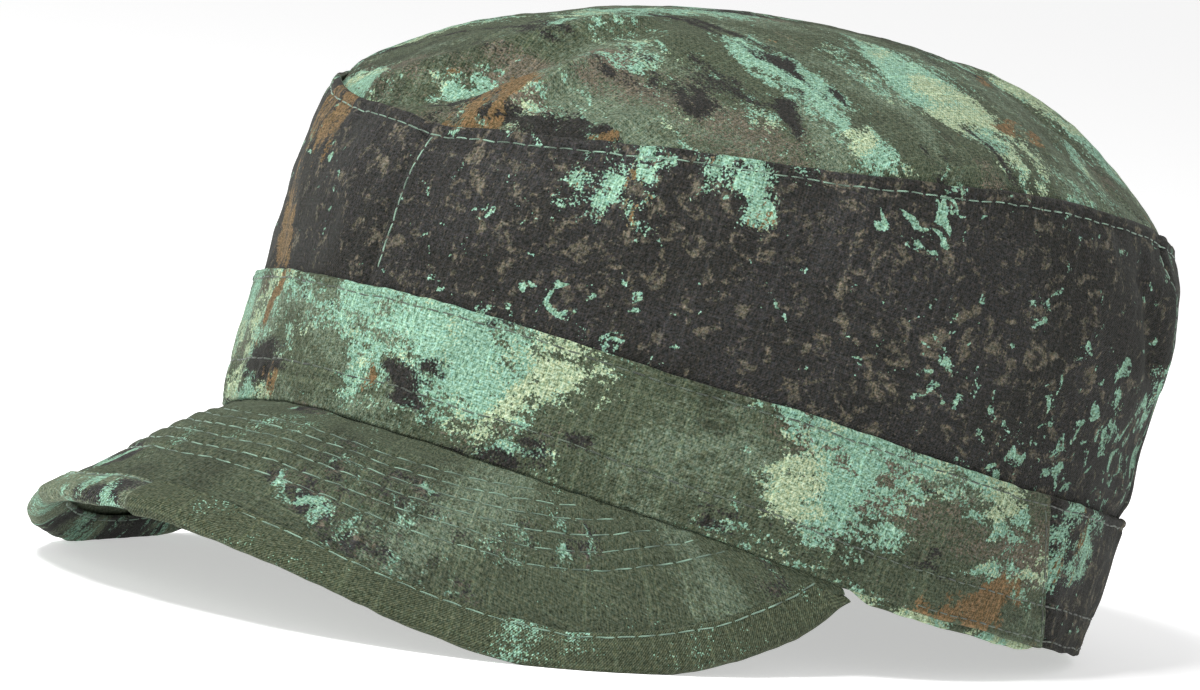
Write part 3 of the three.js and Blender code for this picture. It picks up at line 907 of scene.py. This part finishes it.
def thread_row(places, outward, pitch, rng):
    """One thread along a seam, an array of rings. It lies on the cloth and dips into it after each stitch."""
    run = run_of(places)
    count = max(1, round(run[-1] / (pitch * MM)))
    share = np.arange(count * STEPS_A_STITCH + 1) / STEPS_A_STITCH
    at = share / count * run[-1]
    spot = np.stack([np.interp(at, run, places[:, i]) for i in range(3)], -1)
    up = np.stack([np.interp(at, run, outward[:, i]) for i in range(3)], -1)
    ahead = np.gradient(spot, axis=0)
    across = np.cross(up, ahead)
    across /= np.linalg.norm(across, axis=-1, keepdims=True)
    stitch = np.minimum(share.astype(int), count - 1)
    rise = smoothstep(np.abs(np.sin(math.pi * share)), 0, 0.55)
    radius = THREAD / 2 * (0.6 + 0.4 * rise) * rng.uniform(0.85, 1.15, count)[stitch]
    radius[[0, -1]] = 0
    height = -DIP + (DIP + THREAD_LIFT) * rise
    slant = rng.normal(0, 0.07, count)[stitch] * (share - stitch - 0.5) * rise
    turn = np.linspace(0, TURN, THREAD_SIDES + 1)
    sideways = slant[:, None] + radius[:, None] * np.cos(turn)
    upward = height[:, None] + radius[:, None] * np.sin(turn)
    return spot[:, None] + MM * (across[:, None] * sideways[..., None] + up[:, None] * upward[..., None])


def stitches(name, lines, pitch, seed):
    rng = np.random.default_rng(seed)
    return closed_up(name, [grid_mesh(name, thread_row(*line, pitch, rng))[0] for line in lines])


def wall_at(angle, up, depth):
    return inset(wall_face, angle, up, depth)


def band_at(angle, up, depth):
    return inset(band_face, angle, up, depth)


def peak_at(turn, out, depth):
    return under(peak_face, turn, out, depth)


def peak_from_below(turn, out, height):
    return under(peak_face, turn, out, PEAK_THICKNESS + UNDER_DROP + BINDING_CLOTH - height)


def on_wall(angle, below):
    """A stitch line on the side panels, at distances below the crown seam."""
    angle, below = np.broadcast_arrays(angle, below)
    height = seam_edge(angle)[..., 2] - band_face(angle, 1.0)[..., 2]
    depth = -wall_shift(angle, height - below) - wall_relief(angle, below)
    return stitch_line(wall_at, angle, 1 - below / height, depth)


def on_band(angle, up_mm):
    """A stitch line on the band, at heights above its lower edge."""
    angle, up_mm = np.broadcast_arrays(angle, up_mm)
    height = band_height(angle)
    depth = -band_shift(angle, up_mm) - band_relief(angle, up_mm, height)
    return stitch_line(band_at, angle, up_mm / height, depth)


def on_peak(inward):
    """A stitch row on the peak, at a distance in from its edge, as far as the band lets it run."""
    turn = np.linspace(-PEAK_END, PEAK_END, 900)
    reach = peak_reach(turn)
    wide_enough = reach > inward + ROW_CLEAR
    turn, reach = turn[wide_enough], reach[wide_enough]
    mm = reach - inward
    depth = TOP_SINK * smoothstep(mm / reach, 0, 1) - peak_relief(reach, mm)
    return stitch_line(peak_at, turn, mm / reach, depth)


def all_stitches():
    around = np.linspace(0, TURN, 1600)
    down = np.linspace(*BACK_SEAM_ROW, 60)
    share_up = 1 - down / (SEAM_HEIGHT - BAND_HEIGHT)
    back = math.radians(BACK_PANEL_SEAM) - BESIDE_BACK_SEAM / WALL_RADIUS
    panel_seams = [on_wall(BESIDE_SEAM / WALL_RADIUS, np.linspace(*FRONT_SEAM_ROW, 60))]
    panel_seams += [on_wall(bent(angle, share_up), down) for angle in (back, -back)]
    side = math.radians(BAND_SEAM) - BESIDE_SEAM / WALL_RADIUS
    up = np.linspace(*BAND_SEAM_ROW, 30)
    band_seams = [on_band(slanted(angle, up / BAND_HEIGHT), up) for angle in (side, -side)]
    behind = np.linspace(HEM_ROW_START, TURN - HEM_ROW_START, 900)
    turn = np.linspace(-PEAK_END + TAPE_ROW_SHORT, PEAK_END - TAPE_ROW_SHORT, 700)
    reach = peak_reach(turn)
    inner = tape_width(reach) - BINDING_STITCH_IN
    upper = stitch_line(peak_at, turn, 1 - inner / reach, TOP_SINK - BINDING_CLOTH + TAPE_GROOVE)
    lower = stitch_line(peak_from_below, turn, 1 - inner / reach, TAPE_GROOVE)
    return [
        stitches("crown_seam_stitches", [on_wall(around, SEAM_STITCH_IN)], STITCH, 21),
        stitches("panel_seam_stitches", panel_seams, STITCH, 22),
        stitches("band_top_stitches", [on_band(around, band_height(around) - BAND_STITCH_IN)], STITCH, 23),
        stitches("band_lower_stitches", [on_band(around, SWEATBAND_STITCH_UP)], STITCH, 24),
        stitches("hem_stitches", [on_band(behind, HEM_STITCH_UP)], STITCH, 25),
        stitches("band_seam_stitches", band_seams, STITCH, 26),
        stitches("peak_stitches", [on_peak(inward) for inward in rows_in()], PEAK_STITCH, 27),
        stitches("binding_stitches", [upper, lower], PEAK_STITCH, 28),
    ]


# Materials

def node(tree, kind, inputs=None, **settings):
    made = tree.nodes.new("ShaderNode" + kind)
    for name, value in settings.items():
        setattr(made, name, value)
    for key, value in (inputs or {}).items():
        if isinstance(value, bpy.types.NodeSocket):
            tree.links.new(value, made.inputs[key])
        else:
            made.inputs[key].default_value = value
    return made


def math_node(tree, operation, a, b=0.0):
    return node(tree, "Math", {0: a, 1: b}, operation=operation).outputs[0]


def scaled(tree, where, scale, turn=0.0):
    return node(tree, "Mapping", {"Vector": where, "Scale": scale, "Rotation": (0, 0, turn)}).outputs[0]


def cloud(tree, where, seed, detail=2.0, roughness=0.5, distortion=0.0):
    made = node(tree, "TexNoise", {"Vector": where, "W": seed, "Scale": 1.0, "Detail": detail,
                                   "Roughness": roughness, "Distortion": distortion}, noise_dimensions="4D")
    return made.outputs["Fac"]


def ramp(tree, value, low, high, to_low=0.0, to_high=1.0):
    made = node(tree, "MapRange", {0: value, 1: low, 2: high, 3: to_low, 4: to_high})
    made.clamp = True
    return made.outputs[0]


def blend(tree, share, a, b, mode="MIX"):
    made = node(tree, "Mix", data_type="RGBA", blend_type=mode)
    for socket, value in ((made.inputs[0], share), (made.inputs[6], a), (made.inputs[7], b)):
        if isinstance(value, bpy.types.NodeSocket):
            tree.links.new(value, socket)
        else:
            socket.default_value = value
    return made.outputs[2]


def rgb(red, green, blue):
    """A colour as the eye sees it, 0 to 255, turned into the linear values that shaders use."""
    def linear(value):
        value /= 255
        return value / 12.92 if value <= 0.04045 else ((value + 0.055) / 1.055) ** 2.4

    return (linear(red), linear(green), linear(blue), 1)


GREEN = rgb(62, 70, 55)
DEEP_GREEN = rgb(50, 56, 44)
SAGE = rgb(82, 94, 78)
CHARCOAL = rgb(40, 40, 39)
SOFT_BLACK = rgb(35, 35, 33)
MOTTLE = rgb(80, 77, 66)
AQUA = rgb(108, 141, 122)
PALE = rgb(134, 150, 122)
TAN = rgb(94, 78, 54)
TAPE_GREEN = rgb(60, 67, 51)
PALE_GREEN = rgb(88, 98, 80)
PALE_THREAD = rgb(58, 74, 61), rgb(120, 150, 130)
DARK_THREAD = rgb(38, 45, 36), rgb(74, 88, 72)

# Specks and flakes of the print, in waves a metre, and the depth of the cloth's and the thread's relief in
# metres
SPECKS = 1900
FLAKES = 240
WEAVE_DEPTH = 0.00012
PLY_DEPTH = 0.00006


def patches(tree, where, size, threshold, grain, seed, blur=0.012, stretch=(1, 1), turn=0.0, gather=0.0,
            flakes=0.2):
    """Mask of printed patches about `size` millimetres across. Flakes and finer specks break up their
    edges. They may gather in some places and leave others free."""
    per_metre = 1000 / size
    mask = cloud(tree, scaled(tree, where, (per_metre * stretch[0], per_metre * stretch[1], 1), turn), seed,
                 2.0, 0.55, 0.9)
    parts = [(SPECKS, SPECKS, seed + 0.37, grain), (16, 16, seed + 0.61, gather),
             (FLAKES * stretch[0], FLAKES * stretch[1], seed + 0.83, flakes)]
    for across, along, part_seed, share in parts:
        if share:
            part = cloud(tree, scaled(tree, where, (across, along, 1), turn), part_seed, 1.0)
            part = math_node(tree, "MULTIPLY", math_node(tree, "SUBTRACT", part, 0.5), share)
            mask = math_node(tree, "ADD", mask, part)
    return ramp(tree, mask, threshold - blur, threshold + blur)


def printed(tree, where, ground, layers):
    """The print: layers over a ground colour. A layer marked True lies only on the one before it."""
    colour, last = ground, 1.0
    for layer_colour, on_last, settings in layers:
        mask = patches(tree, where, **settings)
        if on_last:
            mask = math_node(tree, "MULTIPLY", mask, last)
        else:
            last = mask
        colour = blend(tree, mask, colour, layer_colour)
    return colour


GREEN_PRINT = (GREEN, [
    (SAGE, False, dict(size=48, threshold=0.55, grain=0.3, seed=1.2, blur=0.04, stretch=(1, 1.8), turn=0.8)),
    (DEEP_GREEN, False, dict(size=60, threshold=0.58, grain=0.15, seed=2.2, blur=0.03)),
    (MOTTLE, False, dict(size=55, threshold=0.63, grain=0.4, seed=2.6, blur=0.03, stretch=(1, 1.6),
                         turn=0.5)),
    (AQUA, False, dict(size=46, threshold=0.575, grain=0.3, seed=3.1, stretch=(1, 1.7), turn=-0.5,
                       flakes=0.3)),
    (PALE, True, dict(size=26, threshold=0.56, grain=0.35, seed=4.4, turn=0.3)),
    (SOFT_BLACK, False, dict(size=40, threshold=0.625, grain=0.22, seed=6.8, stretch=(1, 2.2), turn=0.7,
                             blur=0.025)),
    (TAN, False, dict(size=38, threshold=0.65, grain=0.12, seed=5.3, stretch=(1.6, 1), turn=0.9)),
    (AQUA, False, dict(size=8, threshold=0.72, grain=0.3, seed=14.2, gather=0.5, flakes=0)),
])
PEAK_PRINT = (GREEN, [
    (DEEP_GREEN, False, dict(size=60, threshold=0.60, grain=0.15, seed=2.9, blur=0.05)),
    (SAGE, False, dict(size=60, threshold=0.62, grain=0.3, seed=15.2, blur=0.04)),
    (CHARCOAL, False, dict(size=52, threshold=0.625, grain=0.22, seed=16.4, blur=0.02)),
    (MOTTLE, True, dict(size=3.2, threshold=0.60, grain=0.3, seed=16.9, blur=0.08, flakes=0)),
    (AQUA, True, dict(size=5, threshold=0.565, grain=0.22, seed=17.3, stretch=(1, 0.55), turn=0.5, flakes=0)),
    (AQUA, False, dict(size=45, threshold=0.675, grain=0.35, seed=18.9)),
])
DARK_PRINT = (CHARCOAL, [
    (SOFT_BLACK, False, dict(size=24, threshold=0.52, grain=0.2, seed=19.0, blur=0.08, flakes=0)),
    (MOTTLE, False, dict(size=3.4, threshold=0.615, grain=0.35, seed=7.2, blur=0.07, gather=0.25, flakes=0)),
    (AQUA, False, dict(size=5, threshold=0.66, grain=0.2, seed=8.5, gather=0.5, flakes=0)),
    (AQUA, False, dict(size=46, threshold=0.665, grain=0.25, seed=9.9, flakes=0.3)),
    (TAN, True, dict(size=7, threshold=0.60, grain=0.3, seed=10.1, stretch=(1.8, 0.5), turn=0.8, flakes=0)),
    (TAN, False, dict(size=60, threshold=0.70, grain=0.15, seed=10.4, stretch=(1.6, 0.7))),
])
PALE_PRINT = (PALE, [
    (AQUA, False, dict(size=6, threshold=0.54, grain=0.4, seed=11.0, flakes=0)),
    (GREEN, False, dict(size=9, threshold=0.60, grain=0.4, seed=12.0, flakes=0)),
])
TAPE_PRINT = (TAPE_GREEN, [
    (AQUA, False, dict(size=26, threshold=0.655, grain=0.6, seed=13.0)),
])
FAR_TAPE_PRINT = (CHARCOAL, [
    (PALE_GREEN, False, dict(size=22, threshold=0.50, grain=0.3, seed=25.7, blur=0.05)),
    (AQUA, False, dict(size=7, threshold=0.56, grain=0.3, seed=26.0, stretch=(1, 0.5), turn=0.6, flakes=0)),
])


def cloth_material(name, colours, offset, yarn=0.36, twill=0.0, sheen=0.05, far_colours=None):
    """Printed cotton: the print, the yarns' uneven colour, thick yarns here and there, and their relief.
    Far colours are for the wearer's right, past a joint in the cloth at the front."""
    ground, layers = colours
    material = bpy.data.materials.new(name)
    material.use_nodes = True
    tree = material.node_tree
    shader = tree.nodes["Principled BSDF"]
    shader.inputs["Roughness"].default_value = 0.92
    shader.inputs["Specular IOR Level"].default_value = 0.12
    shader.inputs["Sheen Weight"].default_value = sheen
    shader.inputs["Sheen Roughness"].default_value = 0.5
    shader.inputs["Sheen Tint"].default_value = (0.9, 0.94, 0.84, 1)
    uv = node(tree, "UVMap", uv_map="cloth").outputs[0]
    where = node(tree, "Mapping", {"Vector": uv, "Location": (offset[0], offset[1], 0)}).outputs[0]
    colour = printed(tree, where, ground, layers)
    if far_colours:
        place = node(tree, "SeparateXYZ", {0: node(tree, "TexCoord").outputs["Object"]})
        far = math_node(tree, "LESS_THAN", place.outputs[0], 0.0)
        colour = blend(tree, far, colour, printed(tree, where, *far_colours))

    yarns = 1000 / yarn
    wash = ramp(tree, cloud(tree, scaled(tree, where, (45, 45, 1)), 20.0, 3.0), 0.25, 0.75, 0.88, 1.12)
    warp = cloud(tree, scaled(tree, where, (yarns, yarns / 3, 1)), 21.0, 1.0)
    weft = cloud(tree, scaled(tree, where, (yarns / 3, yarns, 1)), 22.0, 1.0)
    heather = ramp(tree, math_node(tree, "ADD", warp, weft), 0.68, 1.32, 0.25, 1.75)
    thick_up = ramp(tree, cloud(tree, scaled(tree, where, (900, 12, 1)), 23.0, 0.0), 0.60, 0.72)
    thick_across = ramp(tree, cloud(tree, scaled(tree, where, (12, 900, 1)), 24.0, 0.0), 0.64, 0.74)
    slub = math_node(tree, "MULTIPLY", math_node(tree, "MAXIMUM", thick_up, thick_across), warp)
    at = node(tree, "SeparateXYZ", {0: where})
    if twill:
        diagonal = math_node(tree, "ADD", at.outputs[0], at.outputs[1])
        weave = math_node(tree, "SINE", math_node(tree, "MULTIPLY", diagonal, TURN / (twill * MM)))
        heather = math_node(tree, "MULTIPLY", heather, ramp(tree, weave, -1.0, 1.0, 0.62, 1.38))
    else:
        across = math_node(tree, "SINE", math_node(tree, "MULTIPLY", at.outputs[0], math.pi / (yarn * MM)))
        along = math_node(tree, "SINE", math_node(tree, "MULTIPLY", at.outputs[1], math.pi / (yarn * MM)))
        weave = math_node(tree, "MULTIPLY", across, along)
    light = math_node(tree, "MULTIPLY", wash, heather)
    light = math_node(tree, "ADD", light, math_node(tree, "MULTIPLY", slub, 0.8))
    warm = math_node(tree, "MULTIPLY", light, ramp(tree, warp, 0.35, 0.65, 0.88, 1.14))
    cool = math_node(tree, "MULTIPLY", light, ramp(tree, weft, 0.35, 0.65, 0.86, 1.1))
    shade = node(tree, "CombineColor", {0: warm, 1: light, 2: cool}).outputs[0]
    worn = blend(tree, 1.0, colour, shade, "MULTIPLY")
    reverse = node(tree, "Attribute", attribute_name="reverse").outputs["Fac"]
    pale_side = blend(tree, 1.0, PALE_GREEN, shade, "MULTIPLY")
    inside = blend(tree, 0.6, worn, pale_side)
    tree.links.new(blend(tree, reverse, worn, inside), shader.inputs["Base Color"])

    yarn_height = math_node(tree, "ADD", warp, weft)
    height = math_node(tree, "ADD", math_node(tree, "MULTIPLY", weave, 0.5), yarn_height)
    height = math_node(tree, "ADD", height, slub)
    bump = node(tree, "Bump", {"Height": height, "Strength": 0.7, "Distance": WEAVE_DEPTH})
    tree.links.new(bump.outputs[0], shader.inputs["Normal"])
    return material


def thread_material(name, shade_colour, light_colour):
    """Sewing thread, in two tones, with the fine relief of its plies."""
    material = bpy.data.materials.new(name)
    material.use_nodes = True
    tree = material.node_tree
    shader = tree.nodes["Principled BSDF"]
    shader.inputs["Roughness"].default_value = 0.7
    shader.inputs["Sheen Weight"].default_value = 0.3
    where = node(tree, "TexCoord").outputs["Object"]
    shade = cloud(tree, scaled(tree, where, (260, 260, 260)), 31.0, 1.0)
    colour = blend(tree, ramp(tree, shade, 0.35, 0.65), shade_colour, light_colour)
    tree.links.new(colour, shader.inputs["Base Color"])
    ply = cloud(tree, scaled(tree, where, (3000, 3000, 3000)), 32.0, 1.0)
    bump = node(tree, "Bump", {"Height": ply, "Strength": 0.5, "Distance": PLY_DEPTH})
    tree.links.new(bump.outputs[0], shader.inputs["Normal"])
    return material


# The cap

def dress(piece, material, nodes=()):
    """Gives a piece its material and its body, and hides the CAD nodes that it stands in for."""
    piece.data.materials.append(material)
    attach(piece, "root")
    if nodes:
        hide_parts(*nodes)


crown_print = cloth_material("crown_cotton", GREEN_PRINT, (0.11, 0.62))
side_print = cloth_material("side_cotton", DARK_PRINT, (0.52, 0.33))
band_print = cloth_material("band_cotton", GREEN_PRINT, (0.31, 0.04))
band_back_print = cloth_material("band_back_cotton", DARK_PRINT, (0.93, 0.21))
sweat_print = cloth_material("sweatband_cotton", PALE_PRINT, (0.2, 0.2))
peak_print = cloth_material("peak_cotton", PEAK_PRINT, (0.77, 0.18))
under_print = cloth_material("peak_under_cotton", (GREEN, []), (0.4, 0.9))
bias_tape = cloth_material("bias_tape", TAPE_PRINT, (0.1, 0.3), twill=0.7, far_colours=FAR_TAPE_PRINT)

dress(top_panel(), crown_print, ["top_panel"])
left_side = side_panel("left_side_cloth", 0, BACK_PANEL_SEAM, False, False)
dress(left_side, side_print, ["side_panel_left"])
right_side = side_panel("right_side_cloth", -BACK_PANEL_SEAM, 0, False, True)
dress(right_side, side_print, ["side_panel_right"])
back = side_panel("back_cloth", BACK_PANEL_SEAM, 360 - BACK_PANEL_SEAM, True, True)
dress(back, side_print, ["back_panel"])
dress(band_piece("front_band_cloth", -BAND_SEAM, BAND_SEAM, False), band_print, ["band_front"])
back_band = band_piece("back_band_cloth", BAND_SEAM, 360 - BAND_SEAM, True)
dress(back_band, band_back_print, ["band_back"])
dress(sweatband(), sweat_print, ["sweatband"])
dress(peak_layer("peak_top_cloth", 0, True), peak_print, ["peak_top"])
dress(peak_layer("peak_under_cloth", PEAK_CLOTH + GAP, False), under_print, ["peak_underside"])
dress(peak_binding(), bias_tape, ["peak_binding"])
pale_thread = thread_material("pale_thread", *PALE_THREAD)
dark_thread = thread_material("dark_thread", *DARK_THREAD)
for row_of_stitches in all_stitches():
    on_the_band = row_of_stitches.name.startswith(("band", "hem"))
    dress(row_of_stitches, dark_thread if on_the_band else pale_thread)


# Floor, light and camera

FLOOR_RADIUS = 30
FLOOR_GLOW = 0.5
ROOM_LIGHT = 0.45
# Soft lights: name, watts, size, place, and the place that they face
LIGHTS = [
    ("key", 25, 0.4, (0.2, -0.8, 1.2), (0, 0, 0.06)),
    ("front", 5, 1.0, (-0.25, -1.2, 0.28), (0, -0.06, 0.03)),
]


def soft_light(name, energy, size, at, aim):
    light = bpy.data.lights.new(name, "AREA")
    light.energy, light.size = energy, size
    lamp = bpy.data.objects.new(name, light)
    lamp.location = at
    lamp.rotation_euler = (Vector(aim) - Vector(at)).to_track_quat("-Z", "Y").to_euler()
    bpy.context.scene.collection.objects.link(lamp)


def studio():
    """A plain pale floor in a pale room, with the soft lights. The floor's paper also glows: painted light
    that lights the cap from below and softens its shadow.
    """
    bm = bmesh.new()
    bmesh.ops.create_circle(bm, cap_ends=True, segments=96, radius=FLOOR_RADIUS)
    mesh = bpy.data.meshes.new("studio_floor")
    bm.to_mesh(mesh)
    bm.free()
    floor = bpy.data.objects.new("studio_floor", mesh)
    bpy.context.scene.collection.objects.link(floor)
    paper = bpy.data.materials.new("glowing_pale_paper")
    paper.use_nodes = True
    shader = paper.node_tree.nodes["Principled BSDF"]
    shader.inputs["Base Color"].default_value = (0.9, 0.9, 0.9, 1)
    shader.inputs["Roughness"].default_value = 0.9
    # Painted light: the paper glows though it is no lamp, brightening the floor and the cap's undersides
    shader.inputs["Emission Color"].default_value = (1, 1, 1, 1)
    shader.inputs["Emission Strength"].default_value = FLOOR_GLOW
    floor.data.materials.append(paper)
    world = bpy.data.worlds.new("pale_room")
    world.use_nodes = True
    background = world.node_tree.nodes["Background"]
    background.inputs["Color"].default_value = (1, 1, 1, 1)
    background.inputs["Strength"].default_value = ROOM_LIGHT
    bpy.context.scene.world = world
    for light in LIGHTS:
        soft_light(*light)


# The camera's place in the cap's own upright frame, as the photograph sees it
AZIMUTH = math.radians(40.61)
ELEVATION = math.radians(-2.57)
ROLL = math.radians(14.75)
DISTANCE = 1575
LOOKS_AT = Vector((0, 0, 47.25))
AIM_RIGHT, AIM_UP = -21.76, -9.31
LENS = 221.9
SENSOR_WIDTH = 36


def camera():
    """The camera is placed in the cap's upright frame and tipped with it. It keeps its angle to the cap."""
    back = Vector((math.sin(AZIMUTH) * math.cos(ELEVATION), -math.cos(AZIMUTH) * math.cos(ELEVATION),
                   math.sin(ELEVATION)))
    level = Vector((math.cos(AZIMUTH), math.sin(AZIMUTH), 0))
    upward = back.cross(level)
    right = math.cos(ROLL) * level + math.sin(ROLL) * upward
    upward = -math.sin(ROLL) * level + math.cos(ROLL) * upward
    eye = LOOKS_AT + back * DISTANCE
    aim = LOOKS_AT + right * AIM_RIGHT + upward * AIM_UP
    back = (eye - aim).normalized()
    right = upward.cross(back).normalized()
    upward = back.cross(right)
    tip = Matrix.Rotation(-TILT, 4, "X")
    stand = Matrix.Translation(STANDS_AT * MM) @ tip
    turned = Matrix((right, upward, back)).transposed().to_4x4()
    turned.translation = eye * MM
    lens = bpy.data.cameras.new("photo_camera")
    lens.lens, lens.sensor_width = LENS, SENSOR_WIDTH
    lens.clip_end = 100
    made = bpy.data.objects.new("photo_camera", lens)
    made.matrix_world = stand @ turned
    bpy.context.scene.collection.objects.link(made)
    bpy.context.scene.camera = made


studio()
camera()
bpy.context.scene.view_settings.view_transform = "Standard"
